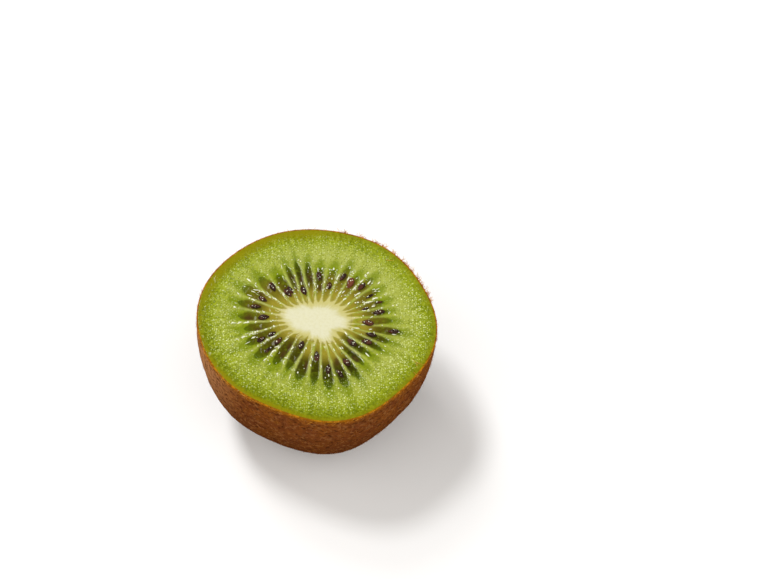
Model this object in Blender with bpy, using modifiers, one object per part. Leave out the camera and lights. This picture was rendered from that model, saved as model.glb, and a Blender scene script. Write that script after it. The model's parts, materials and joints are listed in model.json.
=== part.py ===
"""Half a kiwi fruit, cut crosswise and resting on its rounded end with the cut face up.

Two solids: the flesh with its skin, and the pale core that runs down through it.
Metres, +Z up. The origin is on the resting surface, below the middle of the fruit.
"""
import math

import bmesh
import bpy

# the cut face, which is a slightly uneven oval
CUT_RADIUS = 0.02346     # mean radius of the cut face
DEPTH = 0.0291           # from the cut face down to the resting spot
REST_RADIUS = 0.0055     # flat spot that the round end stands on
LEAN = -0.0020           # how far the round end lies towards -X of the cut face

# the bulge of the side, as in side_width: the fruit is widest a little below the cut
WIDEST = 0.063           # share of the depth
SHOULDER = 2.444
ROUNDNESS = 2.3

# the core, an oval plug that narrows downwards and ends inside the flesh
CORE_RADIUS = 0.0063     # mean radius at the cut face
CORE_DEPTH = 0.0240
CORE_OFFSET = (-0.0001, 0.0002)
CORE_SHOULDER = 2.2
CORE_ROUNDNESS = 1.7
CORE_TIP_RADIUS = 0.0012

GAP = 0.0003             # clearance between the core and the flesh around it

# unevenness of each outline: how many bulges, how far out, and the heading of one in degrees
FLESH_BULGES = (
    (2, 0.00095, -27),
    (3, 0.00022, 46),
    (4, 0.00020, 5),
    (5, 0.00020, -6),
    (6, 0.00020, -13),
)
CORE_BULGES = (
    (2, 0.00120, 0),
    (3, 0.00042, 56),
    (5, 0.00014, -66),
)

FLESH_SIDES = 72
FLESH_RINGS = 22
CORE_SIDES = 40
CORE_RINGS = 12

FLESH_COLOUR = (0.30, 0.42, 0.05, 1.0)
CORE_COLOUR = (0.78, 0.76, 0.46, 1.0)


def clear_scene():
    for item in list(bpy.data.objects):
        bpy.data.objects.remove(item, do_unlink=True)


def new_collection(name):
    group = bpy.data.collections.new(name)
    bpy.context.scene.collection.children.link(group)
    return group


def material(name, colour, roughness):
    mat = bpy.data.materials.new(name)
    mat.use_nodes = True
    shader = mat.node_tree.nodes["Principled BSDF"]
    shader.inputs["Base Color"].default_value = colour
    shader.inputs["Roughness"].default_value = roughness
    shader.inputs["Metallic"].default_value = 0.0
    return mat


def side_width(t, widest, shoulder, roundness):
    """Width of the fruit at the fraction t of its depth, as a share of its largest width."""
    along = abs(t - widest) / (1.0 - widest)
    return (1.0 - along ** shoulder) ** (1.0 / roundness)


def side_profile(radius, depth, end_radius, widest, shoulder, roundness, rings):
    """Points (x, z) down the outer side, from the cut's rim to the small flat end."""
    full = radius / side_width(0.0, widest, shoulder, roundness)
    end_along = (1.0 - (end_radius / full) ** roundness) ** (1.0 / shoulder)
    end_t = widest + (1.0 - widest) * end_along
    points = []
    for i in range(rings + 1):
        # rings lie closer together where the side turns under
        t = end_t * math.sin(0.5 * math.pi * i / rings)
        width = full * side_width(t, widest, shoulder, roundness)
        points.append((width, depth * (1.0 - t / end_t)))
    return points


def turned(name, points, sides, group):
    """A closed profile from axis to axis, turned once round Z."""
    bm = bmesh.new()
    verts = [bm.verts.new((x, 0.0, z)) for x, z in points]
    for a, b in zip(verts, verts[1:]):
        bm.edges.new((a, b))
    mesh = bpy.data.meshes.new(name)
    bm.to_mesh(mesh)
    bm.free()
    obj = bpy.data.objects.new(name, mesh)
    group.objects.link(obj)
    screw = obj.modifiers.new("turn", "SCREW")
    screw.axis = "Z"
    screw.steps = sides
    screw.render_steps = sides
    screw.use_merge_vertices = True
    screw.merge_threshold = 0.00001
    return obj


def bake_shape(obj):
    """Keep the modifiers' result as the object's own mesh."""
    graph = bpy.context.evaluated_depsgraph_get()
    mesh = bpy.data.meshes.new_from_object(obj.evaluated_get(graph))
    obj.modifiers.clear()
    obj.data = mesh


def outline_factor(angle, radius, bulges):
    """How much further out than a circle the outline runs at this heading."""
    out = sum(size * math.cos(count * (angle - math.radians(heading)))
              for count, size, heading in bulges)
    return 1.0 + out / radius


def press_outline(obj, radius, bulges, offset=(0.0, 0.0)):
    """Turn a round body into the uneven one, and lean its lower end sideways."""
    for v in obj.data.vertices:
        angle = math.atan2(v.co.y, v.co.x)
        factor = outline_factor(angle, radius, bulges)
        down = (DEPTH - v.co.z) / DEPTH
        v.co.x = v.co.x * factor + offset[0] + LEAN * down
        v.co.y = v.co.y * factor + offset[1]


def make_flesh(group):
    side = side_profile(CUT_RADIUS, DEPTH, REST_RADIUS, WIDEST, SHOULDER, ROUNDNESS, FLESH_RINGS)
    flesh = turned("flesh", [(0.0, DEPTH)] + side + [(0.0, 0.0)], FLESH_SIDES, group)
    bake_shape(flesh)
    press_outline(flesh, CUT_RADIUS, FLESH_BULGES)
    flesh.data.materials.append(material("green flesh", FLESH_COLOUR, 0.35))
    return flesh


def core_solid(name, grow, group):
    """The core's plug. The cutter for its pocket is the same plug, larger all round."""
    top = DEPTH + (0.002 if grow else 0.0)
    side = side_profile(CORE_RADIUS + grow, CORE_DEPTH + grow, CORE_TIP_RADIUS + grow,
                        0.0, CORE_SHOULDER, CORE_ROUNDNESS, CORE_RINGS)
    floor_z = DEPTH - CORE_DEPTH - grow
    points = [(0.0, top)]
    if grow:
        points.append((CORE_RADIUS + grow, top))
    points += [(x, z + floor_z) for x, z in side]
    points.append((0.0, floor_z))
    plug = turned(name, points, CORE_SIDES, group)
    bake_shape(plug)
    press_outline(plug, CORE_RADIUS, CORE_BULGES, CORE_OFFSET)
    return plug


def make_core(group):
    core = core_solid("core", 0.0, group)
    core.data.materials.append(material("pale core", CORE_COLOUR, 0.45))
    return core


def cut_pocket(flesh, cutters):
    cutter = core_solid("core_pocket", GAP, cutters)
    cutter.hide_render = True
    cutter.display_type = "WIRE"
    pocket = flesh.modifiers.new("core pocket", "BOOLEAN")
    pocket.operation = "DIFFERENCE"
    pocket.solver = "EXACT"
    pocket.object = cutter


def centre_over_origin(objects, reference):
    """Bring the middle of the reference's box over the origin."""
    xs = [v.co.x for v in reference.data.vertices]
    ys = [v.co.y for v in reference.data.vertices]
    shift_x = -0.5 * (min(xs) + max(xs))
    shift_y = -0.5 * (min(ys) + max(ys))
    for obj in objects:
        for v in obj.data.vertices:
            v.co.x += shift_x
            v.co.y += shift_y


def smooth_shading(obj):
    obj.data.shade_smooth()
    obj.data.set_sharp_from_angle(angle=math.radians(40))


def main():
    clear_scene()
    fruit = new_collection("fruit half")
    cutters = new_collection("cutters")
    flesh = make_flesh(fruit)
    core = make_core(fruit)
    cut_pocket(flesh, cutters)
    centre_over_origin([flesh, core] + list(cutters.objects), flesh)
    for obj in (flesh, core):
        smooth_shading(obj)


main()
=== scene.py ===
import bpy
import json
import math
import numpy as np
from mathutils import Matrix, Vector
from mathutils.bvhtree import BVHTree

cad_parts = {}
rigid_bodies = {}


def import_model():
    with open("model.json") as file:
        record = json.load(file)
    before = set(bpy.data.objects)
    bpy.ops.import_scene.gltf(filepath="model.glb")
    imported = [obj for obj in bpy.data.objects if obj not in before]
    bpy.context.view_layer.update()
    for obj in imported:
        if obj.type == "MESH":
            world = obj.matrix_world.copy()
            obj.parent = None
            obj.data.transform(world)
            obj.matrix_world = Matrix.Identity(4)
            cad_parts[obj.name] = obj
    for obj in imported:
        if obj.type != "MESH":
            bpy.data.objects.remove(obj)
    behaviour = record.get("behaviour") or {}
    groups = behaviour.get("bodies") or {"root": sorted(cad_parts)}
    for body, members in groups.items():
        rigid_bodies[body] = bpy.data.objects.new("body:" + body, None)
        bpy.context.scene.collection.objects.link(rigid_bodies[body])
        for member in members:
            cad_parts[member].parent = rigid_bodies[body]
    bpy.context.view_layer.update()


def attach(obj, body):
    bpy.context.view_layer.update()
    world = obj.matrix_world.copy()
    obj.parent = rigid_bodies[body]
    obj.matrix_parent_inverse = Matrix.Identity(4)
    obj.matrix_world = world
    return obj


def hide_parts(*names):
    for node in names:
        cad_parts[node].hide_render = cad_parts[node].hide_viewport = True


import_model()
print("frame loaded")

mm = 0.001
tau = 2 * math.pi
dice = np.random.RandomState(11)
shuffled = dice.permutation(256)
slopes = dice.normal(size=(256, 3))
slopes /= np.linalg.norm(slopes, axis=1)[:, None]


def smooth(low, high, value):
    # 0 at low, 1 at high, a soft step between them
    t = np.clip((value - low) / (high - low), 0, 1)
    return t * t * (3 - 2 * t)


def blend(a, b, share):
    return a + (b - a) * share


def lumps(x, y, z, size, offset=0.0):
    # smooth noise from about -1 to 1, size is the width of a lump
    place = np.stack(np.broadcast_arrays(x, y, z), -1) / size + offset
    cell = np.floor(place).astype(int)
    inside = place - cell
    ease = inside ** 3 * (inside * (inside * 6 - 15) + 10)
    total = 0.0
    for corner in np.ndindex(2, 2, 2):
        i, j, k = (cell + corner).T % 256
        slope = slopes[shuffled[(shuffled[(shuffled[i] + j) % 256] + k) % 256]]
        share = np.prod(np.where(corner, ease, 1 - ease), axis=-1)
        total = total + share * np.sum(slope * (inside - corner), axis=-1)
    return 1.7 * total


def readCoords(mesh):
    co = np.empty(len(mesh.vertices) * 3, np.float32)
    mesh.vertices.foreach_get("co", co)
    return co.reshape(-1, 3).astype(float)


def writeCoords(mesh, co):
    mesh.vertices.foreach_set("co", co.astype(np.float32).ravel())
    mesh.update()


def storeField(mesh, name, values):
    layer = mesh.attributes.new(name, "FLOAT", "POINT")
    layer.data.foreach_set("value", np.asarray(values, np.float32))


def deselectAll():
    for obj in bpy.context.scene.objects:
        obj.select_set(False)


def turnPair(co, a, b, angle):
    # turns points in the plane of two of their axes
    c, s = np.cos(angle), np.sin(angle)
    turned = co.copy()
    turned[..., a] = c * co[..., a] - s * co[..., b]
    turned[..., b] = s * co[..., a] + c * co[..., b]
    return turned


# The fruit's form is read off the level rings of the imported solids.

def readRings(node, sides):
    # from the top down: height, middle, mean radius and the waves of the radius round it
    co = np.unique(np.round(readCoords(bpy.data.objects[node].data), 6), axis=0)
    rings = []
    for z in sorted(set(co[:, 2]), reverse=True):
        level = co[co[:, 2] == z]
        if len(level) < sides - 2:
            continue
        away = np.hypot(*(level[:, :2] - level[:, :2].mean(axis=0)).T)
        level = level[np.argsort(away)[-sides:], :2]
        middle = level.mean(axis=0)
        flat = level - middle
        angle = np.arctan2(flat[:, 1], flat[:, 0])
        radius = np.hypot(flat[:, 0], flat[:, 1])
        waves = [2 * (radius * np.exp(-1j * n * angle)).mean() for n in range(1, 8)]
        rings.append((z, middle, radius.mean(), waves))
    return rings


def outlineFactor(ring, angle):
    # the uneven outline as a share of its mean radius
    out = np.ones_like(angle)
    for n, wave in enumerate(ring[3], start=1):
        out = out + abs(wave) / ring[2] * np.cos(n * angle + np.angle(wave))
    return out


def throughPoints(values, k):
    # a smooth curve through evenly numbered values, read at k
    v = np.concatenate(([2 * values[0] - values[1]], values, [2 * values[-1] - values[-2]]))
    i = np.clip(np.floor(k).astype(int), 0, len(values) - 2)
    t = k - i
    a, b, c, d = v[i], v[i + 1], v[i + 2], v[i + 3]
    return b + 0.5 * t * (c - a + t * (2 * a - 5 * b + 4 * c - d + t * (3 * (b - c) + d - a)))


ringSides = {"flesh": 72, "core": 40}   # how many corners the solids have round a level
outlineSteps = 2880

fleshRings = readRings("flesh", ringSides["flesh"])
coreRings = readRings("core", ringSides["core"])
rimRing = fleshRings[0]
plugRing = coreRings[0]
topZ = rimRing[0]
rimRadius = rimRing[2]
plugRadius = plugRing[2]
leanRun = (fleshRings[-1][1] - rimRing[1]) / topZ
plugRun = (coreRings[-1][1] - plugRing[1]) / (topZ - coreRings[-1][0])


def fruitMiddle(z):
    return rimRing[1] + leanRun * (topZ - z)[..., None]


def plugMiddle(z):
    return plugRing[1] + plugRun * (topZ - z)[..., None]


def evenAngles(ring, share):
    # headings that cut the outline into stretches of equal length, and that length
    angle = np.linspace(0, tau, outlineSteps + 1)
    radius = ring[2] * outlineFactor(ring, angle)
    x, y = radius * np.cos(angle), radius * np.sin(angle)
    run = np.concatenate(([0], np.cumsum(np.hypot(np.diff(x), np.diff(y)))))
    return np.interp(np.asarray(share) % 1 * run[-1], run, angle), run[-1]


def outlinePoint(ring, share, inset=0.0):
    angle = evenAngles(ring, share)[0]
    radius = ring[2] * outlineFactor(ring, angle) - inset
    return ring[1] + np.stack([radius * np.cos(angle), radius * np.sin(angle)], -1)


rimLength = evenAngles(rimRing, 0)[1]
plugLength = evenAngles(plugRing, 0)[1]
print("rings read", len(fleshRings), len(coreRings))


# The plan of the cut face. Turn is the way round it in degrees, anticlockwise from the right,
# and reach goes from 0 at the core's edge to 1 at the peel.

chambers = (
    # where the wall before it stands, that wall's lean at its root, the root's reach, the tip's
    (5, 0, 0.00, 0.47), (14, 2, -0.05, 0.47), (26, -6, -0.05, 0.49), (37, -3, 0.00, 0.56),
    (48, -4, -0.05, 0.46), (59, -4, -0.03, 0.54), (69, -1, -0.10, 0.45), (81, 0, -0.03, 0.46),
    (92, 0, 0.00, 0.55), (101, 2, -0.03, 0.60), (109, 4, 0.00, 0.56), (117, 4, -0.03, 0.47),
    (130, 6, -0.03, 0.55), (143, 5, 0.04, 0.60), (157, 2, 0.03, 0.55), (169, 1, 0.03, 0.50),
    (182, 0, -0.08, 0.45), (196, -5, -0.10, 0.50), (210, -4, -0.15, 0.53), (225, -3, -0.24, 0.47),
    (240, -3, -0.18, 0.49), (250, 9, 0.05, 0.56), (262, 7, -0.10, 0.58), (273, 9, 0.05, 0.61),
    (285, 5, 0.05, 0.62), (296, 0, 0.03, 0.59), (306, -2, -0.10, 0.47), (316, 0, -0.22, 0.45),
    (326, 5, -0.05, 0.50), (336, 8, 0.05, 0.53), (345, 2, 0.07, 0.63), (355, -3, 0.05, 0.49),
)
wallTurn, wallLean, rootReach, tipReach = np.array(chambers, float).T

cut = {
    "leanEnds": 0.45,            # the reach where a leaning wall is back on its own turn
    "wander": 0.8,               # degrees that walls wander sideways
    "wallWidth": 0.21 * mm,
    "margin": 0.05 * mm,         # flesh left beside a wall
    "sink": 0.12 * mm,           # how far the gel lies below the walls
    "tipRound": 0.5,             # the share of a chamber's length that its rounded end takes
    "haloReach": 0.13,           # how much further out than the gel its green shade reaches
    "rimBand": 2.8 * mm,         # the darker flesh inside the peel
    "rimDrop": 0.02 * mm,
    "goldBand": 3.2 * mm,        # the golden tinge inside the peel at the back left, painted light where the lamps shine through the peel
    "goldEdge": 1.3 * mm,        # and the narrow one all round
    "sunnyTurn": 40,             # the side where walls are faint and the dark rim is thin
    "pinch": 0.25 * mm,          # how much narrower a chamber is at its root
    "spike": (1.5 * mm, 0.20 * mm),   # how far the pith runs out along a wall, and half its width
    "lumps": {"broad": (5 * mm, 3.1), "ragged": (1.2 * mm, 9.7), "fine": (0.55 * mm, 5.2)},
    # rays from the core: how far round, how far outwards, the grain of the noise and its own part
    "streak": (14 * mm, 2.2 * mm, 0.8 * mm, 2.9),
    "brush": (16 * mm, 3.2 * mm, 0.55 * mm, 6.6),
    "shadeTurns": (0, 35, 75, 102, 135, 165, 200, 228, 255, 285, 315, 340, 360),
    "shades": (0.35, 0.20, 0.15, 1.0, 0.20, 0.40, 0.50, 0.65, 0.85, 1.0, 1.0, 0.70, 0.35),
}

# Pips: turn, reach, length in millimetres, and how each lies in the gel.
pips = (
    (9, 0.33, 2.5, "high"), (20, 0.38, 1.7, "thin"), (17, 0.20, 2.0, "thin"), (30, 0.33, 1.9, "thin"),
    (43, 0.34, 2.3, "high"), (54, 0.30, 2.6, "red"), (64, 0.34, 2.2, "high"), (74, 0.18, 2.0, "low"),
    (87, 0.31, 2.2, "high"), (85, 0.16, 2.0, "deep"), (96, 0.32, 2.1, "deep"), (105, 0.31, 2.0, "deep"),
    (107, 0.145, 2.4, "high"), (112, 0.33, 2.2, "deep"), (127, 0.16, 2.3, "high"), (122, 0.19, 2.0, "low"),
    (135, 0.32, 2.4, "high"), (153, 0.27, 2.0, "low"), (149, 0.35, 1.7, "deep"), (164, 0.30, 2.3, "low"),
    (177, 0.35, 2.3, "deep"), (177, 0.17, 2.3, "high"), (192, 0.24, 1.9, "deep"), (205, 0.29, 2.2, "high"),
    (204, 0.13, 1.8, "low"), (219, 0.31, 2.2, "thin"), (218, 0.14, 2.3, "high"), (234, 0.27, 2.1, "deep"),
    (235, 0.13, 2.2, "deep"), (249, 0.085, 2.2, "high"), (260, 0.33, 2.1, "deep"), (271, 0.19, 2.2, "low"),
    (281, 0.34, 2.1, "high"), (290, 0.41, 2.1, "low"), (292, 0.26, 2.0, "deep"), (300, 0.31, 2.3, "high"),
    (310, 0.33, 2.2, "deep"), (322, 0.14, 2.3, "low"), (332, 0.27, 2.3, "low"), (342, 0.27, 2.3, "low"),
    (350, 0.50, 2.3, "low"), (356, 0.19, 2.5, "rust"),
)
pipForm = {
    "sides": 20,
    "rings": 14,
    "point": 0.55,               # how slim the inner end is
    "flat": 0.68,                # its height to its width
    "uneven": 0.05,
    # by chance: degrees of heading, roll and pitch, and millimetres of height
    "heading": 9,
    "roll": 30,
    "pitch": 7,
    "rise": 0.05,
}
pipLies = {
    # how far its middle stands above the gel in millimetres, its width to its length, its redness
    "high": (0.18, 0.50, 0.10),
    "red": (0.22, 0.54, 1.0),
    "rust": (0.20, 0.48, 0.35),
    "low": (0.04, 0.50, 0.05),
    "thin": (-0.04, 0.32, 0.0),
    "deep": (-0.62, 0.52, 0.4),
}


def leanShare(reach):
    # a leaning wall runs straight, so its turn changes most near the core
    def inward(r):
        return plugRadius * (1 - r) / (plugRadius * (1 - r) + rimRadius * r)
    end = inward(cut["leanEnds"])
    return (inward(np.clip(reach, 0, 1)) - end) / (1 - end)


def leaned(turn, reach):
    # the turn that a place would have if its chamber's walls stood straight
    lean = np.interp(turn, wallTurn, wallLean, period=360)
    return (turn - lean * leanShare(reach)) % 360


def cutPoint(turn, reach, inset=0.0):
    inner = outlinePoint(plugRing, turn / 360)
    outer = outlinePoint(rimRing, turn / 360, inset)
    return blend(inner, outer, np.asarray(reach)[..., None])


def planPips():
    planned = []
    for turn, reach, length, lie in pips:
        rise, slim, red = pipLies[lie]
        out = cutPoint(turn, 1.0) - cutPoint(turn, 0.0)
        planned.append({
            "place": cutPoint(turn, reach),
            "heading": math.atan2(out[1], out[0]) + math.radians(dice.normal(0, pipForm["heading"])),
            "length": length * mm,
            "width": length * slim * mm,
            "rise": (rise + dice.uniform(-pipForm["rise"], pipForm["rise"])) * mm,
            "roll": math.radians(dice.uniform(-pipForm["roll"], pipForm["roll"])),
            "pitch": math.radians(dice.normal(0, pipForm["pitch"])),
            "red": red,
            "deep": lie == "deep",
        })
    return planned


pipPlan = planPips()
print("chambers and pips planned", len(chambers), len(pipPlan))


def fingerRoom(across, along, halfRoom):
    # how far inside a chamber's rounded outline a place lies, in metres
    end = np.clip((along - 1 + cut["tipRound"]) / cut["tipRound"], 0, 1)
    return (np.sqrt(1 - end ** 2) - abs(across)) * halfRoom


def pipFields(x, y):
    mound = np.zeros_like(x)
    sunken = np.zeros_like(x)
    ragged = 1 + 0.35 * lumps(x, y, 0.0, 0.6 * mm, 4.4)
    for pip in pipPlan:
        flat = turnPair(np.stack([x, y], -1) - pip["place"], 0, 1, -pip["heading"])
        away = (flat[:, 0] / pip["length"] * 2) ** 2 + (flat[:, 1] / pip["width"] * 2) ** 2
        if pip["deep"]:
            sunken = np.maximum(sunken, np.exp(-1.1 * (away * ragged) ** 1.5))
        else:
            mound = np.maximum(mound, np.exp(-0.9 * away))
    return mound, sunken


def rayLumps(turn, reach, around, outward, size, offset):
    # noise drawn out along the way from the core to the peel
    angle = np.radians(turn)
    return lumps(np.cos(angle) * around, np.sin(angle) * around, reach * outward, size, offset)


cutRelief = {
    # heights on the cut face, each with the lumps that shape it
    "swell": 0.06 * mm,
    "swellSize": 13 * mm,
    "gel": 0.06 * mm,
    "gelSize": 1.5 * mm,
    "gelFine": 0.025 * mm,
    "wall": 0.02 * mm,
    "wallRagged": 0.05 * mm,
    "wallFine": 0.03 * mm,
    "mound": 0.14 * mm,          # the gel over a pip that lies high
    "outerFine": 0.015 * mm,
    "outerRagged": 0.02 * mm,
    "outerStreak": 0.03 * mm,
    "pith": 0.05 * mm,
}


def cutHeight(x, y, broad, ragged, fine, streak, along, gel, wall, mound, band, pith, fromRim):
    # the height over the plain cut face, from the lumps and the share of each tissue
    rise = cutRelief
    height = rise["swell"] * lumps(x, y, 0.0, rise["swellSize"], 1.7)
    height -= gel * cut["sink"] * (0.75 + 0.4 * broad) * smooth(1.1, 0.6, along)
    height += gel * (rise["gel"] * lumps(x, y, 0.0, rise["gelSize"], 7.7) + rise["gelFine"] * fine)
    height += wall * (rise["wall"] + rise["wallRagged"] * ragged + rise["wallFine"] * fine)
    height += mound * gel * rise["mound"]
    outer = rise["outerFine"] * fine + rise["outerRagged"] * ragged + band * rise["outerStreak"] * streak
    height += (1 - gel) * (1 - pith) * outer
    height += pith * rise["pith"]
    return height - cut["rimDrop"] * smooth(1.0 * mm, 0.0, fromRim)


def cutFields(turn, reach, x, y):
    # everything that differs over the cut face: its height, and where each tissue lies
    broad, ragged, fine = (lumps(x, y, 0.0, *cut["lumps"][name]) for name in ("broad", "ragged", "fine"))
    turn = leaned(turn + cut["wander"] * (broad + 0.5 * ragged), reach)
    k = np.searchsorted(wallTurn, turn, side="right") - 1
    width = (np.roll(wallTurn, -1)[k] - wallTurn[k]) % 360
    across = 2 * ((turn - wallTurn[k]) % 360) / width - 1
    halfRoom = width / 720 * blend(plugLength, rimLength, np.clip(reach, -0.3, 1))
    toWall = (1 - abs(across)) * halfRoom
    length = tipReach[k] - rootReach[k]
    along = (reach - rootReach[k]) / length
    streak = rayLumps(turn, reach, *cut["streak"])
    fromCore = np.where(reach < 0, reach * plugRadius, reach * (rimRadius - plugRadius))
    rootAt = rootReach[k] * np.where(rootReach[k] < 0, plugRadius, rimRadius - plugRadius)
    fromRoot = fromCore - rootAt + 0.35 * mm * streak + 0.25 * mm * ragged
    room = fingerRoom(across, along, halfRoom) - cut["margin"] + 0.12 * mm * ragged + 0.07 * mm * fine
    room -= cut["pinch"] * smooth(1.6 * mm, -0.6 * mm, fromRoot)
    gel = smooth(-0.10 * mm, 0.38 * mm, room) * smooth(-1.1 * mm, 0.8 * mm, fromRoot)
    halo = fingerRoom(across, (reach - rootReach[k]) / (length + cut["haloReach"]), halfRoom)
    halo = smooth(-0.50 * mm, 0.90 * mm, halo + 0.22 * mm * ragged + 0.1 * mm * fine)
    halo *= smooth(0.35, 0.8, along)
    wallFade = smooth(-0.22, 0.02, reach) * (1 - smooth(0.22, 0.74, reach + 0.08 * streak))
    wallWidth = cut["wallWidth"] * blend(1, 2.2, np.clip(reach, 0, 1))
    wall = np.exp(-((toWall + 0.06 * mm * fine) / wallWidth) ** 2) * wallFade
    wall *= np.clip(0.72 + 0.45 * streak + 0.3 * fine, 0, 1) * blend(0.6, 1, smooth(0.0, 0.28, reach))
    brush = rayLumps(turn, reach, *cut["brush"])
    sunny = 0.5 + 0.5 * np.cos(np.radians(turn - cut["sunnyTurn"]))
    spikeRun, spikeHalf = cut["spike"]
    spike = spikeRun * np.exp(-(toWall / spikeHalf) ** 2) - 0.7 * mm * smooth(0.05 * mm, 0.4 * mm, toWall)
    spike *= smooth(-2.6 * mm, -0.3 * mm, fromCore)
    root = np.interp(turn, wallTurn + 5, rootReach, period=360)
    root = root * np.where(root < 0, plugRadius, rimRadius - plugRadius)
    inward = fromCore - np.minimum(root, 0.5 * mm) * smooth(-0.95, -0.3, reach) + 0.35 * mm * ragged
    inward += 0.45 * mm * streak + 0.3 * mm * fine
    pith = 1 - smooth(-1.9 * mm, 0.6 * mm, inward - spike)
    fringe = smooth(-2.6 * mm, -0.2 * mm, inward + 0.7 * mm * smooth(130, 90, turn) * smooth(0, 20, turn))
    fromRim = (1 - reach) * (rimRadius - plugRadius)
    rimWidth = cut["rimBand"] * blend(1.6, 0.9, sunny)
    rim = smooth(rimWidth, 0.2 * mm, fromRim + 0.3 * mm * ragged + 0.5 * mm * broad)
    rim *= blend(1.0, 0.5, sunny)
    # painted light: a golden glow inside the peel at the back left where the lamps shine through it; the
    # narrow edge all round is the flesh's own tinge
    gold = smooth(50, 100, turn) * smooth(190, 150, turn)
    gold *= smooth(cut["goldBand"], 0.0, fromRim + 0.5 * mm * broad)
    edge = blend(0.75, 0.35, sunny) + 0.4 * smooth(190, 215, turn) * smooth(280, 245, turn)
    gold = np.maximum(gold, edge * smooth(cut["goldEdge"], 0.1 * mm, fromRim + 0.3 * mm * ragged))
    # painted glints of wet juice along the walls, on the front left and the back right
    wallGlints = smooth(180, 200, turn) * smooth(262, 240, turn) + smooth(5, 20, turn) * smooth(105, 80, turn)
    wallGlints *= np.clip(2 * wall, 0, 1) * smooth(-0.2, 0.4, ragged + 0.4 * broad) * smooth(0.0, 0.1, reach)
    # pale grains that carry painted glints of wet sparkle; more of them from the front left round to the
    # right, fewer in the golden and dark rims
    grainsAndGlints = 0.55 + 0.45 * smooth(150, 205, turn) + 0.45 * smooth(50, 5, turn) + 0.25 * broad
    grainsAndGlints = np.clip(grainsAndGlints, 0, 1) * (1 - 0.75 * gold) * (1 - 0.6 * rim * (1 - sunny))
    band = smooth(0.42, 0.60, reach) * smooth(0.90, 0.66, reach)
    mound, sunken = pipFields(x, y)
    return {
        "height": cutHeight(x, y, broad, ragged, fine, streak, along,
                            gel, wall, mound, band, pith, fromRim),
        "gel": gel,
        "halo": halo * (1 - gel),
        "along": np.clip(along, 0, 1.3),
        "wall": wall * blend(1.0, 0.7, sunny),
        "wallGlints": wallGlints,
        "inner": smooth(1.4 * mm, -0.2 * mm, fromCore),
        "pith": pith,
        "fringe": fringe,
        "rim": rim,
        "gold": gold,
        "grainsAndGlints": grainsAndGlints * smooth(0.42, 0.70, reach) * smooth(0.1 * mm, 1.6 * mm, fromRim),
        "band": band * np.clip(blend(0.35, 0.95, sunny) + 0.5 * streak, 0, 1),
        "shade": np.interp(turn, cut["shadeTurns"], cut["shades"]),
        "brush": brush,
        "calm": np.clip(0.65 * gel + 0.8 * rim * (1 - 0.7 * sunny) + pith, 0, 1),
        "sunken": sunken * gel,
    }


# A turned body is a profile drawn with extrude and spun once round the upright axis.

def turnedBody(name, rows, segments):
    # rows are (radius, height) from axis to axis
    deselectAll()
    bpy.ops.mesh.primitive_plane_add(size=mm, location=(0, 0, 0))
    body = bpy.context.object
    body.name = name
    body.data.name = name
    bpy.ops.object.mode_set(mode="EDIT")
    bpy.ops.mesh.select_all(action="SELECT")
    bpy.ops.mesh.merge(type="CENTER")
    bpy.ops.transform.translate(value=(rows[0][0], 0, rows[0][1]))
    for (r0, z0), (r1, z1) in zip(rows, rows[1:]):
        bpy.ops.mesh.extrude_region_move(TRANSFORM_OT_translate={"value": (r1 - r0, 0, z1 - z0)})
    bpy.ops.object.mode_set(mode="OBJECT")
    co = readCoords(body.data)
    drawn = np.array(rows)
    row = [np.hypot(drawn[:, 0] - x, drawn[:, 1] - z).argmin() for x, _, z in co]
    body.data.attributes.new("row", "INT", "POINT")
    body.data.attributes["row"].data.foreach_set("value", row)
    bpy.ops.object.mode_set(mode="EDIT")
    bpy.ops.mesh.select_all(action="SELECT")
    bpy.ops.mesh.spin(steps=segments, angle=tau, center=(0, 0, 0), axis=(0, 0, 1))
    bpy.ops.mesh.select_all(action="SELECT")
    bpy.ops.mesh.remove_doubles(threshold=0.000002)
    bpy.ops.mesh.normals_make_consistent(inside=False)
    bpy.ops.object.mode_set(mode="OBJECT")
    return body


def rowsAndTurns(body):
    row = np.empty(len(body.data.vertices), np.int32)
    body.data.attributes["row"].data.foreach_get("value", row)
    co = readCoords(body.data)
    return row, np.degrees(np.arctan2(co[:, 1], co[:, 0])) % 360


def profileOf(rings, count, inset=0.0):
    # mean radius and height down the outer side, moved inwards by inset
    k = np.linspace(0, len(rings) - 1, count)
    radius = throughPoints(np.array([ring[2] for ring in rings]), k)
    height = throughPoints(np.array([ring[0] for ring in rings]), k)
    runR, runZ = np.gradient(radius), np.gradient(height)
    length = np.hypot(runR, runZ)
    return radius + inset * runZ / length, height - inset * runR / length


def fitRound(ring, middleAt, radius, height, turn):
    # puts a turned point on the fruit's real, uneven and leaning side
    angle = evenAngles(ring, turn / 360)[0]
    spread = radius * outlineFactor(ring, angle)
    middle = middleAt(height)
    x, y = middle[:, 0] + spread * np.cos(angle), middle[:, 1] + spread * np.sin(angle)
    return np.stack([x, y, height], -1)


def shapeFace(body, co, onFace, turn, reach):
    # gives the cut face its relief, and stores where each tissue lies
    fields = cutFields(turn[onFace], reach, co[onFace, 0], co[onFace, 1])
    co[onFace, 2] = topZ + fields.pop("height")
    writeCoords(body.data, co)
    for name, share in fields.items():
        values = np.zeros(len(onFace))
        values[onFace] = share
        storeField(body.data, name, values)
    body.data.shade_smooth()
    return body


flesh = {
    "segments": 560,
    "faceRings": 138,
    "sideRings": 14,
    "pocketRings": 6,
    "peel": 0.27 * mm,
    "seam": 0.01 * mm,
}


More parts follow.
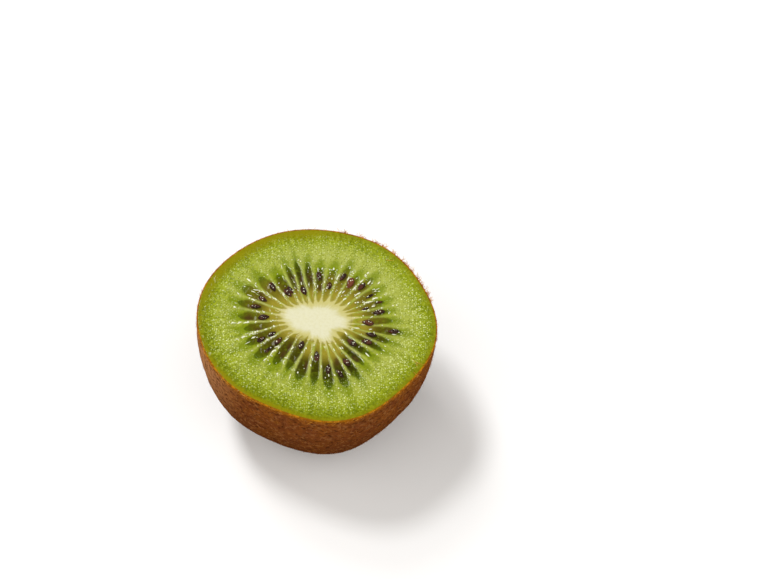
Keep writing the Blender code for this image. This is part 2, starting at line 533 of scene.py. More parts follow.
def makeFlesh():
    pocketR, pocketZ = profileOf(coreRings, flesh["pocketRings"])
    pocketR = pocketR + flesh["seam"]
    sideR, sideZ = profileOf(fleshRings, flesh["sideRings"], flesh["peel"] + flesh["seam"])
    reach = np.linspace(0, 1, flesh["faceRings"])
    rows = [(0, pocketZ[-1])]
    rows += list(zip(pocketR[:0:-1], pocketZ[:0:-1]))
    faceStart = len(rows)
    rows += [(blend(pocketR[0], sideR[0], r), topZ) for r in reach]
    sideStart = len(rows)
    rows += list(zip(sideR[1:], sideZ[1:]))
    rows.append((0, sideZ[-1]))
    body = turnedBody("green_flesh", rows, flesh["segments"])
    row, turn = rowsAndTurns(body)
    mean = np.array(rows)[row]
    co = readCoords(body.data)
    inPocket = row < faceStart
    onSide = row >= sideStart
    onFace = ~inPocket & ~onSide
    co[inPocket] = fitRound(plugRing, plugMiddle, mean[inPocket, 0], mean[inPocket, 1], turn[inPocket])
    co[onSide] = fitRound(rimRing, fruitMiddle, mean[onSide, 0], mean[onSide, 1], turn[onSide])
    faceReach = reach[row[onFace] - faceStart]
    co[onFace, :2] = cutPoint(turn[onFace], faceReach, flesh["peel"])
    return shapeFace(body, co, onFace, turn, faceReach)


core = {
    "segments": 224,
    "faceRings": 44,
    "sideRings": 10,
}


def makeCore():
    sideR, sideZ = profileOf(coreRings, core["sideRings"])
    outward = np.linspace(0, 1, core["faceRings"])
    rows = [(sideR[0] * q, topZ) for q in outward]
    sideStart = len(rows)
    rows += list(zip(sideR[1:], sideZ[1:]))
    rows.append((0, sideZ[-1]))
    body = turnedBody("pale_core", rows, core["segments"])
    row, turn = rowsAndTurns(body)
    mean = np.array(rows)[row]
    co = readCoords(body.data)
    onSide = row >= sideStart
    onFace = ~onSide
    co[onSide] = fitRound(plugRing, plugMiddle, mean[onSide, 0], mean[onSide, 1], turn[onSide])
    q = outward[row[onFace]]
    co[onFace, :2] = blend(plugRing[1], cutPoint(turn[onFace], np.zeros(len(q))), q[:, None])
    return shapeFace(body, co, onFace, turn, q - 1)


skin = {
    "segments": 440,
    "sideRings": 100,
    "insideRings": 12,
    "spotRings": 8,
    "thick": 0.27 * mm,
    "swell": (0.16 * mm, 0.07 * mm, 0.03 * mm),
    "swellSize": (8 * mm, 1.8 * mm, 0.8 * mm),
    "lipRagged": 0.05 * mm,
    "lipGrain": 0.9 * mm,
    "lipDrop": 0.03 * mm,        # how far the lip stays below the flesh
    "orangeBand": 1.8 * mm,      # the skin just under the lip
}


def skinSide(height, turn, radius):
    # a point on the bare skin and the way it faces
    place = fitRound(rimRing, fruitMiddle, radius, height, turn)
    flat = place[:, :2] - fruitMiddle(height)
    facing = np.stack([flat[:, 0], flat[:, 1], 1.1 * (height - topZ * 0.75).clip(max=0)], -1)
    return place, facing / (np.linalg.norm(facing, axis=1)[:, None] + 1e-9)


def makeSkin():
    outR, outZ = profileOf(fleshRings, skin["sideRings"])
    inR, inZ = profileOf(fleshRings, skin["insideRings"], skin["thick"])
    rows = [(r, 0.0) for r in np.linspace(0, outR[-1], skin["spotRings"])[:-1]]
    rows += list(zip(outR[::-1], outZ[::-1]))
    rimStart = len(rows) - 1
    rows += [(blend(outR[0], inR[0], q), topZ) for q in (0.3, 0.7)]
    insideStart = len(rows)
    rows += list(zip(inR, inZ))
    rows.append((0, inZ[-1]))
    body = turnedBody("brown_skin", rows, skin["segments"])
    row, turn = rowsAndTurns(body)
    mean = np.array(rows)[row]
    co, facing = skinSide(mean[:, 1], turn, mean[:, 0])
    x, y, z = co.T
    outside = row <= rimStart
    swell = np.zeros(len(co))
    for depth, size in zip(skin["swell"], skin["swellSize"]):
        swell += depth * lumps(x, y, z, size, 2.2)
    swell *= outside * smooth(0, 1.5 * mm, topZ - z)
    co += facing * swell[:, None]
    lip = (row >= rimStart) & (row <= insideStart)
    co[lip, 2] += skin["lipRagged"] * lumps(x[lip], y[lip], z[lip], skin["lipGrain"], 6.6) - skin["lipDrop"]
    co[outside, 2] = np.maximum(co[outside, 2], 0.0)
    writeCoords(body.data, co)
    below = topZ - skin["lipDrop"] - co[:, 2]
    storeField(body.data, "lip", smooth(0.10 * mm, -0.02 * mm, below) * (row >= rimStart))
    # the share of the height, which the finish uses for painted shade low down
    storeField(body.data, "tall", np.clip(co[:, 2] / topZ, 0, 1))
    ragged = lumps(x, y, z, 1.4 * mm, 8.8)
    near = smooth(skin["orangeBand"], 0.1 * mm, topZ - z + 0.5 * mm * ragged)
    storeField(body.data, "nearLip", near * outside)
    # painted sheen down the left side, where light grazes the fuzz
    storeField(body.data, "leftSheen", smooth(234, 197, turn) * smooth(60, 130, turn))
    body.data.shade_smooth()
    return body


def joinCopies(model, shapes, name):
    # one mesh that holds the model's faces once for each array of corner places
    faces = [list(face.vertices) for face in model.data.polygons]
    count = len(model.data.vertices)
    corners = [[v + count * i for v in face] for i in range(len(shapes)) for face in faces]
    mesh = bpy.data.meshes.new(name)
    mesh.from_pydata(np.concatenate(shapes).tolist(), [], corners)
    mesh.shade_smooth()
    bpy.data.objects.remove(model)
    made = bpy.data.objects.new(name, mesh)
    bpy.context.collection.objects.link(made)
    return made


def treeOf(piece):
    faces = [list(face.vertices) for face in piece.data.polygons]
    return BVHTree.FromPolygons(readCoords(piece.data).tolist(), faces)


def heightBelow(tree, places):
    # the height of what a straight drop onto the cut face would meet at each place
    start = topZ + 2 * mm
    return np.array([tree.ray_cast(Vector((x, y, start)), Vector((0, 0, -1)))[0][2] for x, y in places])


def makePips():
    deselectAll()
    sides, rings = pipForm["sides"], pipForm["rings"]
    bpy.ops.mesh.primitive_uv_sphere_add(segments=sides, ring_count=rings, radius=0.5)
    model = bpy.context.object
    co = readCoords(model.data)
    pointed = blend(1.0, pipForm["point"], smooth(0.0, 0.55, -co[:, 2]))
    co = np.stack([co[:, 2], co[:, 0] * pointed, co[:, 1] * pointed * pipForm["flat"]], -1)
    shapes = []
    red = []
    ground = heightBelow(faceTree, [pip["place"] for pip in pipPlan])
    for pip, low in zip(pipPlan, ground):
        shape = co * (pip["length"], pip["width"], pip["width"])
        shape *= 1 + pipForm["uneven"] * lumps(*(co.T + pip["heading"]), 0.4)[:, None]
        shape = turnPair(shape, 1, 2, pip["roll"])
        shape = turnPair(shape, 0, 2, pip["pitch"])
        shape = turnPair(shape, 0, 1, pip["heading"])
        shapes.append(shape + (*pip["place"], low + pip["rise"]))
        red += [pip["red"]] * len(co)
    made = joinCopies(model, shapes, "pips")
    storeField(made.data, "red", red)
    return made


juice = {
    "beads": 380,
    "reach": (0.0, 0.60),
    "length": (0.20 * mm, 1.3 * mm),
    "width": (0.12 * mm, 0.34 * mm),
    "height": 0.14 * mm,
    "uneven": 0.6,
    "small": 0.55,               # the size of the small ones in the gel
    "wetTurns": (0, 15, 75, 100, 125, 190, 235, 250, 340, 360),
    "wetness": (0.8, 1.5, 1.4, 0.9, 1.0, 1.5, 1.6, 0.6, 0.5, 0.8),
    "onWalls": (0.4, 0.4, 0.25, 0.25, 0.5, 0.8, 0.85, 0.6, 0.5, 0.4),   # share of beads on a wall
    "perPip": 3,
    "drop": (0.16 * mm, 0.12 * mm, 0.07 * mm),   # a droplet on a pip
    "dropScale": (0.7, 1.9),
}


def makeJuice():
    deselectAll()
    bpy.ops.mesh.primitive_uv_sphere_add(segments=8, ring_count=5, radius=0.5)
    model = bpy.context.object
    co = readCoords(model.data)
    shapes = []
    pale = []
    glisten = np.interp(wallTurn, juice["wetTurns"], juice["wetness"])
    glisten /= glisten.sum()
    for _ in range(juice["beads"]):
        k = dice.choice(len(chambers), p=glisten)
        reach = dice.uniform(*juice["reach"])
        onWall = dice.uniform() < np.interp(wallTurn[k], juice["wetTurns"], juice["onWalls"])
        width = (np.roll(wallTurn, -1)[k] - wallTurn[k]) % 360
        turn = wallTurn[k] + width * (dice.normal(0, 0.05) if onWall else dice.uniform(0.2, 0.8))
        if not onWall:
            reach = blend(rootReach[k], tipReach[k], 1 - 0.75 * dice.uniform() ** 1.5)
        turn += wallLean[k] * leanShare(reach)
        place = cutPoint(turn, reach)
        out = cutPoint(turn, reach + 0.1) - place
        length = blend(*juice["length"], dice.uniform() ** 3)
        small = not onWall and dice.uniform() < 0.5
        size = np.array([length, dice.uniform(*juice["width"]), juice["height"]])
        size *= juice["small"] if small else 1
        uneven = juice["uneven"] * lumps(*(co.T * 1.3 + dice.uniform(0, 40)), 0.7)
        shape = co * size * (1 + uneven[:, None])
        shape = turnPair(shape, 0, 1, math.atan2(out[1], out[0]) + dice.normal(0, 0.2))
        shapes.append(shape + (*place, heightBelow(faceTree, [place])[0] + 0.02 * mm))
        # the pale beads are painted highlights: their colour stands for the glint of clear juice
        pale += [float(onWall or small or dice.uniform() < 0.7)] * len(co)
    pipTree = treeOf(wetPips)
    for pip in pipPlan:
        if pip["deep"]:
            continue
        for _ in range(juice["perPip"]):
            size = np.array(juice["drop"]) * dice.uniform(*juice["dropScale"])
            aside = (dice.uniform(-0.3, 0.3) * pip["length"], dice.uniform(-0.2, 0.3) * pip["width"])
            place = pip["place"] + turnPair(np.array(aside), 0, 1, pip["heading"])
            shape = turnPair(co * size, 0, 1, dice.uniform(0, tau))
            shapes.append(shape + (*place, heightBelow(pipTree, [place])[0]))
            # a pale droplet on each pip, a painted highlight
            pale += [1.0] * len(co)
    made = joinCopies(model, shapes, "juice")
    storeField(made.data, "pale", pale)
    return made


hair = {
    "onSkin": 3000,
    "atRim": 240,
    "tufts": (14, 18, 22, 27, 33, 37, 41, 47, 53, 58, 66, 75),   # turns where rim hairs stand in a tuft
    "tuftSpread": 1.1,
    "perTuft": 16,
    "loose": ((331, 0.93), (333, 0.90), (327, 0.95), (47, 0.86)),
    "looseLength": 1.6 * mm,
    "looseLift": 0.08,
    "looseCurl": 0.5,
    "length": (0.45 * mm, 1.3 * mm),
    "joints": 4,
    "taper": 0.78,
    "droop": 0.55,               # how far it bends back towards the skin
    "profileRows": 60,
    # per kind: how thick, how many degrees it stands off the skin, how much longer, and its heading
    "thick": {"skin": 0.04 * mm, "rim": 0.07 * mm, "tuft": 0.14 * mm},
    "lift": {"skin": (2, 24), "rim": (5, 45), "tuft": (15, 75)},
    "longer": {"skin": 1, "rim": 1, "tuft": 1.3},
    "heading": {"skin": (0.5, 0.9), "rim": (math.pi, 0.8), "tuft": (math.pi, 0.8)},
    "curl": 0.35,
    "bare": 0.55,                # the share missing on the left side
}


def hairModel():
    deselectAll()
    bpy.ops.mesh.primitive_circle_add(vertices=3, radius=0.5, fill_type="NGON")
    model = bpy.context.object
    bpy.ops.object.mode_set(mode="EDIT")
    bpy.ops.mesh.select_all(action="SELECT")
    for _ in range(hair["joints"]):
        bpy.ops.mesh.extrude_region_move(TRANSFORM_OT_translate={"value": (0, 0, 1 / hair["joints"])})
        bpy.ops.transform.resize(value=(hair["taper"], hair["taper"], 1))
    bpy.ops.mesh.select_all(action="SELECT")
    bpy.ops.mesh.normals_make_consistent(inside=False)
    bpy.ops.object.mode_set(mode="OBJECT")
    return model


def bentHair(co, root, facing, heading, lift, length, thick, curl):
    # a hair that leaves the skin at lift and bends back towards it and to one side
    facing = facing / np.linalg.norm(facing)
    down = np.cross(facing, np.cross((0, 0, -1.0), facing))
    if np.linalg.norm(down) < 0.05:
        down = np.cross(facing, (0, 1.0, 0))
    down /= np.linalg.norm(down)
    side = np.cross(facing, down)
    run = down * math.cos(heading) + side * math.sin(heading)
    aside = np.cross(facing, run)
    t = co[:, 2:]
    risen = (t - hair["droop"] * t * t) * math.sin(lift)
    middle = t * math.cos(lift) * run + risen * facing + curl * t * t * aside
    return root + length * middle + thick * (co[:, :1] * aside + co[:, 1:2] * facing)


def makeHairs():
    model = hairModel()
    co = readCoords(model.data)
    outR, outZ = profileOf(fleshRings, hair["profileRows"])
    inTufts = len(hair["tufts"]) * hair["perTuft"]
    kind = np.repeat(("skin", "rim", "tuft"), (hair["onSkin"], hair["atRim"], inTufts))
    count = len(kind)
    onSkin = topZ * dice.uniform(0.05, 1, count)
    atRim = topZ - dice.uniform(0.05, 0.9, count) * mm
    height = np.where(kind == "skin", onSkin, atRim)
    turn = dice.uniform(0, 360, count)
    stray = dice.normal(0, hair["tuftSpread"], count)[kind == "tuft"]
    turn[kind == "tuft"] = np.repeat(hair["tufts"], hair["perTuft"]) + stray
    radius = np.interp(height, outZ[::-1], outR[::-1])
    root, facing = skinSide(height, turn % 360, radius)
    bare = hair["bare"] * smooth(60, 160, turn) * smooth(300, 230, turn)
    shapes = []
    for i in range(count):
        if kind[i] == "skin" and dice.uniform() < bare[i]:
            continue
        lift = {name: dice.uniform(*span) for name, span in hair["lift"].items()}[kind[i]]
        heading = dice.normal(*hair["heading"][kind[i]])
        length = blend(*hair["length"], dice.uniform() ** 1.6) * hair["longer"][kind[i]]
        thick = hair["thick"][kind[i]]
        curl = dice.normal(0, hair["curl"])
        shapes.append(bentHair(co, root[i], facing[i], heading, math.radians(lift), length, thick, curl))
    left = len(shapes) - inTufts - hair["atRim"]
    for turnAt, reach in hair["loose"]:
        place = cutPoint(turnAt, reach)
        thick = hair["thick"]["tuft"]
        root = np.array([*place, heightBelow(faceTree, [place])[0] + thick * 0.4])
        shapes.append(bentHair(co, root, np.array([0, 0, 1.0]), dice.uniform(0, tau), hair["looseLift"],
                               hair["looseLength"], thick, hair["looseCurl"]))
    golden = np.arange(len(shapes)) >= left
    golden = np.repeat(golden.astype(float), len(co))
    made = joinCopies(model, shapes, "hairs")
    storeField(made.data, "golden", golden)
    return made


def newFinish(name, gloss):
    finish = bpy.data.materials.new(name)
    finish.use_nodes = True
    tree = finish.node_tree
    shader = tree.nodes["Principled BSDF"]
    for socket, value in gloss.items():
        shader.inputs[socket].default_value = value
    return finish, tree, shader


def add(tree, kind, **settings):
    made = tree.nodes.new("ShaderNode" + kind)
    for key, value in settings.items():
        if hasattr(made, key):
            setattr(made, key, value)
        else:
            made.inputs[key.replace("_", " ")].default_value = value
    return made


def plug(tree, socket, value):
    # a link, a colour or a number, whichever the value is
    if isinstance(value, bpy.types.NodeSocket):
        tree.links.new(value, socket)
    elif isinstance(value, tuple) and len(value) == 3 and socket.type == "RGBA":
        socket.default_value = (*value, 1)
    else:
        socket.default_value = value


def field(tree, name):
    return add(tree, "Attribute", attribute_name=name).outputs["Fac"]


def mixColour(tree, share, a, b):
    made = add(tree, "Mix", data_type="RGBA")
    plug(tree, made.inputs[0], share)
    plug(tree, made.inputs[6], a)
    plug(tree, made.inputs[7], b)
    return made.outputs[2]


def laidOver(tree, body, name, share, tone):
    # a tone over the body, where the piece's field of that name says so
    return mixColour(tree, times(tree, field(tree, name), share), body, tone)


def speckled(tree, body, noise, low, high, share, tone):
    # a tone over the body, in the spots where the noise is high
    return mixColour(tree, times(tree, step(tree, noise, low, high), share), body, tone)


def calc(tree, operation, *values):
    made = add(tree, "Math", operation=operation)
    for socket, value in zip(made.inputs, values):
        plug(tree, socket, value)
    return made.outputs[0]


def times(tree, *values):
    product = values[0]
    for value in values[1:]:
        product = calc(tree, "MULTIPLY", product, value)
    return product


def step(tree, value, low, high, toLow=0.0, toHigh=1.0):
    made = add(tree, "MapRange", interpolation_type="SMOOTHSTEP")
    for socket, given in zip(made.inputs, (value, low, high, toLow, toHigh)):
        plug(tree, socket, given)
    return made.outputs[0]


def objectPlace(tree, stretch=(1, 1, 1), turn=0.0):
    mapping = add(tree, "Mapping", Scale=stretch, Rotation=(0, 0, turn))
    tree.links.new(tree.nodes.new("ShaderNodeTexCoord").outputs["Object"], mapping.inputs["Vector"])
    return mapping.outputs["Vector"]


def grain(tree, width, detail=3.0, roughness=0.5, place=None):
    # noise on object coordinates, width is the size of one grain in metres
    made = add(tree, "TexNoise", Scale=1 / width, Detail=detail, Roughness=roughness)
    tree.links.new(place or objectPlace(tree), made.inputs["Vector"])
    return made.outputs["Fac"]


def cells(tree, width, place=None, dimensions="3D"):
    # round cells: the distance from each cell's middle, and a number of its own for each
    made = add(tree, "TexVoronoi", Scale=1 / width, voronoi_dimensions=dimensions)
    tree.links.new(place or objectPlace(tree), made.inputs["Vector"])
    parts = tree.nodes.new("ShaderNodeSeparateColor")
    tree.links.new(made.outputs["Color"], parts.inputs["Color"])
    return made.outputs["Distance"], parts.outputs["Red"]


def relief(tree, height, depth, below=None):
    made = add(tree, "Bump", Distance=depth, Strength=1.0)
    tree.links.new(height, made.inputs["Height"])
    if below:
        tree.links.new(below, made.inputs["Normal"])
    return made.outputs["Normal"]


fleshTones = {
    "bright": (0.290, 0.345, 0.016),
    "deep": (0.120, 0.165, 0.002),
    "pale": (0.365, 0.400, 0.080),
    "rim": (0.180, 0.215, 0.004),
    "rimDeep": (0.080, 0.105, 0.001),
    # gold: painted light at the back left, the flesh's own tinge in the narrow edge
    "gold": (0.225, 0.200, 0.002),
    "halo": (0.150, 0.205, 0.004),
    "wall": (0.420, 0.430, 0.140),
    "gelRoot": (0.275, 0.232, 0.022),
    "gelMid": (0.100, 0.082, 0.003),
    "gelDark": (0.033, 0.034, 0.001),
    "gelTip": (0.070, 0.110, 0.002),
    "pith": (0.640, 0.625, 0.440),
    "pithEdge": (0.500, 0.460, 0.170),
    "sunken": (0.055, 0.026, 0.008),
    # fleck and rimGrainGlint: pale grains, their colour both the grains' own and a painted glint of wet
    # sparkle
    "fleck": (0.640, 0.690, 0.290),
    "rimGrainGlint": (0.420, 0.480, 0.060),
    "inner": (0.300, 0.265, 0.045),
    # wallGlint: painted glints of juice on the walls
    "wallGlint": (0.720, 0.740, 0.560),
    "pit": (0.120, 0.150, 0.002),
}
fleshGloss = {
    "Roughness": 0.5,
    "Specular IOR Level": 0.0,
    "Subsurface Weight": 0.15,
    "Subsurface Radius": (1.0, 1.0, 0.3),
    "Subsurface Scale": 0.5 * mm,
    "Coat Weight": 0.42,
    "Coat Roughness": 0.08,
    "Coat IOR": 1.40,
}
fleshGrain = {
    # specks: cell width, the share of cells that hold one, its inner and outer edge, its strength
    # large and small specks are pale grains with a painted glint of wet sparkle
    "large": (0.76 * mm, 0.80, 0.13, 0.23, 1.0),
    "small": (0.42 * mm, 0.75, 0.14, 0.32, 0.8),
    # wallGlints: painted glints of juice along the walls
    "wallGlints": (0.48 * mm, 0.9, 0.22, 0.46, 1.6),
    "pits": (0.46 * mm, 0.7, 0.16, 0.34, 0.9),
    "pitTurn": 0.6,
    # noises: width of a grain, detail, roughness
    "speckle": (0.50 * mm, 4, 0.65),
    "cloud": (2.6 * mm, 3, 0.5),
    "murky": (0.9 * mm, 3, 0.6),
    "powder": (0.55 * mm, 2, 0.6),
    "wet": (1.0 * mm, 1, 0.4),
    "pulp": (0.5 * mm, 3, 0.55),
    "brushing": 0.10,            # how far the speckle follows the rays from the core
    "stirSize": 0.5 * mm,
    "stir": 0.24 * mm,           # how far the cells are pushed out of shape
    # depths of the fine relief
    "dome": 0.03 * mm,
    "ripple": 0.10 * mm,
    "pulpDepth": 0.06 * mm,
}


def stirred(tree, width, depth):
    # object coordinates pushed about by a noise
    noise = add(tree, "TexNoise", Scale=1 / width, Detail=2.0)
    place = objectPlace(tree)
    tree.links.new(place, noise.inputs["Vector"])
    centred = add(tree, "VectorMath", operation="MULTIPLY_ADD")
    tree.links.new(noise.outputs["Color"], centred.inputs[0])
    centred.inputs[1].default_value = (depth, depth, depth)
    tree.links.new(place, centred.inputs[2])
    return centred.outputs["Vector"]


def flecks(tree, place, width, share, inner, outer, strength):
    far, own = cells(tree, width, place, "2D")
    chosen = step(tree, own, 1 - share, 1.0, 0.0, strength)
    return times(tree, step(tree, far, outer, inner), chosen)


def fleshFinish(name):
    finish, tree, shader = newFinish(name, fleshGloss)
    tone, grains = fleshTones, fleshGrain
    grainsAndGlints = field(tree, "grainsAndGlints")
    along = field(tree, "along")
    pith = field(tree, "pith")
    rays = times(tree, field(tree, "brush"), grains["brushing"])
    speckle = step(tree, calc(tree, "ADD", grain(tree, *grains["speckle"]), rays), 0.36, 0.62)
    body = mixColour(tree, speckle, tone["deep"], tone["bright"])
    body = speckled(tree, body, grain(tree, *grains["cloud"]), 0.32, 0.68, 0.45, tone["bright"])
    body = laidOver(tree, body, "band", 0.8, tone["pale"])
    body = laidOver(tree, body, "halo", 0.75, tone["halo"])
    body = laidOver(tree, body, "rim", 0.9, mixColour(tree, speckle, tone["rimDeep"], tone["rim"]))
    # golden tinge, partly painted light through the peel at the back left
    body = laidOver(tree, body, "gold", 0.9, tone["gold"])
    pits = flecks(tree, objectPlace(tree, turn=grains["pitTurn"]), *grains["pits"])
    body = mixColour(tree, times(tree, pits, step(tree, grainsAndGlints, 0.05, 0.3)), body, tone["pit"])
    shade = field(tree, "shade")
    ripe = times(tree, step(tree, along, 0.12, 0.45), step(tree, shade, 0.0, 0.7, 0.5, 1.0))
    gel = mixColour(tree, ripe, tone["gelRoot"], tone["gelMid"])
    shade = times(tree, step(tree, along, 0.28, 0.60), shade)
    gel = mixColour(tree, shade, gel, tone["gelDark"])
    gel = mixColour(tree, step(tree, along, 0.68, 1.05), gel, tone["gelTip"])
    murky = step(tree, grain(tree, *grains["murky"]), 0.48, 0.70)
    gel = mixColour(tree, times(tree, murky, step(tree, along, 0.3, 0.6, 0.0, 0.5)), gel, tone["halo"])
    body = mixColour(tree, field(tree, "inner"), body, tone["inner"])
    body = mixColour(tree, field(tree, "gel"), body, gel)
    body = laidOver(tree, body, "sunken", 0.8, tone["sunken"])
    body = laidOver(tree, body, "wall", 0.85, tone["wall"])
    powder = step(tree, grain(tree, *grains["powder"]), 0.40, 0.66, 0.0, 0.16)
    edge = calc(tree, "MAXIMUM", field(tree, "fringe"), powder)
    creamy = mixColour(tree, edge, tone["pith"], tone["pithEdge"])
    uncovered = calc(tree, "SUBTRACT", 1.0, field(tree, "gel"))
    body = mixColour(tree, times(tree, step(tree, pith, 0.05, 0.60), uncovered), body, creamy)
    place = stirred(tree, grains["stirSize"], grains["stir"])
    # pale grains painted with a glint of wet sparkle as well as their own paleness; they also raise the
    # coat's domes
    large, small = (flecks(tree, place, *grains[sort]) for sort in ("large", "small"))
    fleck = times(tree, calc(tree, "MAXIMUM", large, small), grainsAndGlints)
    grainGlintTone = mixColour(tree, field(tree, "rim"), tone["fleck"], tone["rimGrainGlint"])
    body = mixColour(tree, fleck, body, grainGlintTone)
    # painted glints of juice along the walls
    wallGlints = times(tree, flecks(tree, place, *grains["wallGlints"]), field(tree, "wallGlints"))
    body = mixColour(tree, wallGlints, body, tone["wallGlint"])
    tree.links.new(body, shader.inputs["Base Color"])
    lively = calc(tree, "SUBTRACT", 1.0, field(tree, "calm"))
    ripple = times(tree, grain(tree, *grains["wet"]), lively)
    wet = relief(tree, fleck, grains["dome"], relief(tree, ripple, grains["ripple"]))
    tree.links.new(wet, shader.inputs["Coat Normal"])
    pulp = times(tree, grain(tree, *grains["pulp"]), calc(tree, "SUBTRACT", 1.0, pith))
    tree.links.new(relief(tree, pulp, grains["pulpDepth"]), shader.inputs["Normal"])
    return finish


skinTones = {
    "brown": (0.155, 0.043, 0.011),
    "warm": (0.200, 0.060, 0.010),
    "orange": (0.300, 0.098, 0.006),
    # pale: painted sheen on the left side
    "pale": (0.430, 0.200, 0.082),
    "spot": (0.300, 0.130, 0.045),
    # low: painted shade, the skin darker towards the bottom
    "low": (0.054, 0.013, 0.003),
    "fleck": (0.046, 0.011, 0.003),
    "glint": (0.400, 0.165, 0.022),
    "lip": (0.46, 0.19, 0.006),
    "lipDark": (0.24, 0.085, 0.004),
}


skinGloss = {"Roughness": 0.8, "Specular IOR Level": 0.0}
skinGrain = {
    # noises: width of a grain, detail, roughness
    "patch": (4 * mm, 3, 0.6),
    "mottle": (0.8 * mm, 2, 0.6),
    "spot": (0.9 * mm, 1, 0.5),
    "fleck": (0.95 * mm, 1, 0.6),
    "fleckLies": ((1, 1, 1.8), 0.4),   # flatter than wide, and turned
    "glint": (0.34 * mm, 2, 0.5),
    "lip": (0.8 * mm, 3, 0.7),
    "rough": (0.32 * mm, 4, 0.65),
    "roughDepth": 0.20 * mm,
}


def skinFinish():
    finish, tree, shader = newFinish("brown skin", skinGloss)
    tone, grains = skinTones, skinGrain
    patch = step(tree, grain(tree, *grains["patch"]), 0.36, 0.64)
    body = mixColour(tree, patch, tone["brown"], tone["warm"])
    # painted sheen down the left side
    body = laidOver(tree, body, "leftSheen", 0.8, tone["pale"])
    body = laidOver(tree, body, "nearLip", step(tree, patch, 0.0, 1.0, 0.9, 0.5), tone["orange"])
    body = speckled(tree, body, grain(tree, *grains["mottle"]), 0.40, 0.62, 0.34, tone["fleck"])
    # painted shade: darker towards the bottom
    body = mixColour(tree, step(tree, field(tree, "tall"), 0.95, 0.22, 0.0, 0.95), body, tone["low"])
    body = speckled(tree, body, grain(tree, *grains["spot"]), 0.55, 0.66, 0.35, tone["spot"])
    fleck = grain(tree, *grains["fleck"], objectPlace(tree, *grains["fleckLies"]))
    body = speckled(tree, body, fleck, 0.56, 0.64, 0.75, tone["fleck"])
    body = speckled(tree, body, grain(tree, *grains["glint"]), 0.60, 0.70, 0.28, tone["glint"])
    ragged = step(tree, grain(tree, *grains["lip"]), 0.42, 0.60)
    body = mixColour(tree, field(tree, "lip"), body, mixColour(tree, ragged, tone["lipDark"], tone["lip"]))
    tree.links.new(body, shader.inputs["Base Color"])
    bumps = relief(tree, grain(tree, *grains["rough"]), grains["roughDepth"])
    tree.links.new(bumps, shader.inputs["Normal"])
    return finish


pipTones = {
    "black": (0.017, 0.006, 0.002),
    "brown": (0.150, 0.038, 0.015),
}


pipGloss = {
    "Roughness": 0.45,
    "Specular IOR Level": 0.0,
    "Coat Weight": 0.45,
    "Coat Roughness": 0.05,
    "Coat IOR": 1.45,
}


def pipFinish():
    finish, tree, shader = newFinish("wet pips", pipGloss)
    mottle = step(tree, grain(tree, 1.0 * mm, 1, 0.5), 0.50, 0.60)
    redness = calc(tree, "ADD", times(tree, field(tree, "red"), 0.7), times(tree, mottle, 0.3))
    body = mixColour(tree, redness, pipTones["black"], pipTones["brown"])
    tree.links.new(body, shader.inputs["Base Color"])
    bumps = relief(tree, cells(tree, 0.30 * mm)[0], 0.05 * mm)
    wet = relief(tree, grain(tree, 0.55 * mm, 2, 0.5), 0.28 * mm)
    tree.links.new(bumps, shader.inputs["Normal"])
    tree.links.new(wet, shader.inputs["Coat Normal"])
    return finish


juiceTones = {
    "green": (0.16, 0.20, 0.03),
    # pale: a painted highlight of clear juice
    "pale": (0.78, 0.80, 0.60),
}


juiceGloss = {"Roughness": 0.12, "Specular IOR Level": 0.5, "IOR": 1.40}


def juiceFinish():
    finish, tree, shader = newFinish("juice", juiceGloss)
    # pale beads carry a painted highlight; the others keep the green of the flesh under the juice
    body = mixColour(tree, field(tree, "pale"), juiceTones["green"], juiceTones["pale"])
    tree.links.new(body, shader.inputs["Base Color"])
    return finish


hairTones = {
    "skin": (0.26, 0.090, 0.012),
    "dark": (0.48, 0.170, 0.008),
    "gold": (0.82, 0.380, 0.030),
}


hairGloss = {"Roughness": 0.45, "Specular IOR Level": 0.3}


def hairFinish():
    finish, tree, shader = newFinish("gold hair", hairGloss)
    atRim = mixColour(tree, step(tree, grain(tree, 1.5 * mm, 3, 0.6), 0.38, 0.62),
                      hairTones["dark"], hairTones["gold"])
    body = mixColour(tree, field(tree, "golden"), hairTones["skin"], atRim)
    tree.links.new(body, shader.inputs["Base Color"])
    return finish


def finished(piece, finish):
    piece.data.materials.append(finish)
    print(piece.name, "made", len(piece.data.polygons))
    return piece


greenFlesh = finished(makeFlesh(), fleshFinish("green flesh"))
faceTree = treeOf(greenFlesh)
paleCore = finished(makeCore(), fleshFinish("pale core"))
brownSkin = finished(makeSkin(), skinFinish())
wetPips = finished(makePips(), pipFinish())
wetJuice = finished(makeJuice(), juiceFinish())
goldHairs = finished(makeHairs(), hairFinish())

for piece, slotName in ((greenFlesh, "flesh"), (paleCore, "core"), (brownSkin, "skin"),
                        (wetPips, "seeds"), (wetJuice, "flesh"), (goldHairs, "skin")):
    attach(piece, "root")
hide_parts("flesh")
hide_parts("flesh")
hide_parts("core")

floor = {
    "below": 0.03 * mm,          # just under the resting spot, so that the two never coincide
    "size": 3.0,
    "gloss": {"Base Color": (0.88, 0.88, 0.88, 1), "Roughness": 0.8},
}
deselectAll()
bpy.ops.mesh.primitive_plane_add(size=floor["size"], location=(0, 0, -floor["below"]))
ground = bpy.context.object
ground.name = "floor"
ground.data.materials.append(newFinish("pale floor", floor["gloss"])[0])

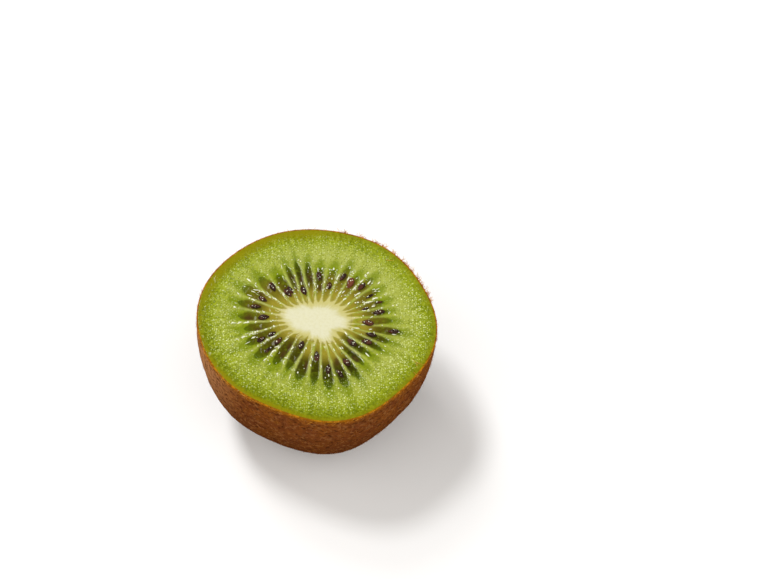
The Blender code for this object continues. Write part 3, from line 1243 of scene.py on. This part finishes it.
lights = {
    # degrees to the left of straight behind, degrees up, then distance, size and watts
    "key light": (52, 66, 1.2, 0.26, 5.5),
    "window": (32, 51, 1.2, 0.34, 3.3),
}
studio = {
    "tone": (1.0, 0.975, 0.94, 1),
    "bright": 1.22,
    "dim": 0.15,                 # behind and above the fruit, so that wet surfaces keep their colour
    "dimAt": (0.0, 0.56, 0.83),
    "dimSpread": (0.55, 0.90),
}


def placeLight(name, heading, elevation, distance, size, power):
    heading, elevation = math.radians(heading), math.radians(elevation)
    level = math.cos(elevation)
    toLight = Vector((-math.sin(heading) * level, math.cos(heading) * level, math.sin(elevation)))
    bpy.ops.object.light_add(type="AREA", location=toLight * distance)
    lamp = bpy.context.object
    lamp.name = name
    lamp.data.shape = "DISK"
    lamp.data.size = size
    lamp.data.energy = power
    lamp.rotation_euler = toLight.to_track_quat("Z", "Y").to_euler()


for name, settings in lights.items():
    placeLight(name, *settings)

world = bpy.data.worlds.new("studio")
world.use_nodes = True
worldTree = world.node_tree
towards = add(worldTree, "VectorMath", operation="DOT_PRODUCT")
worldTree.links.new(worldTree.nodes.new("ShaderNodeTexCoord").outputs["Generated"], towards.inputs[0])
towards.inputs[1].default_value = studio["dimAt"]
glow = step(worldTree, towards.outputs["Value"], *studio["dimSpread"], studio["bright"], studio["dim"])
background = worldTree.nodes["Background"]
background.inputs["Color"].default_value = studio["tone"]
worldTree.links.new(glow, background.inputs["Strength"])
bpy.context.scene.world = world
bpy.context.scene.view_settings.view_transform = "Standard"

view = {
    "elevation": 56.0,
    "azimuth": 0.0,
    "lens": 100,
    "distance": 0.4330,
    "right": 14.0 * mm,          # where the camera aims, beside the middle of the cut face
    "up": 6.4 * mm,
    "nearest": 0.01,
}
pitch = math.radians(view["elevation"])
yaw = math.radians(view["azimuth"])
back = Vector((math.sin(yaw) * math.cos(pitch), -math.cos(yaw) * math.cos(pitch), math.sin(pitch)))
facing = back.to_track_quat("Z", "Y")
aim = Vector((*rimRing[1], topZ)) + facing @ Vector((view["right"], view["up"], 0))
bpy.ops.object.camera_add(location=aim + back * view["distance"], rotation=facing.to_euler())
camera = bpy.context.object
camera.data.lens = view["lens"]
camera.data.clip_start = view["nearest"]
bpy.context.scene.camera = camera
print("floor, lights and camera set")
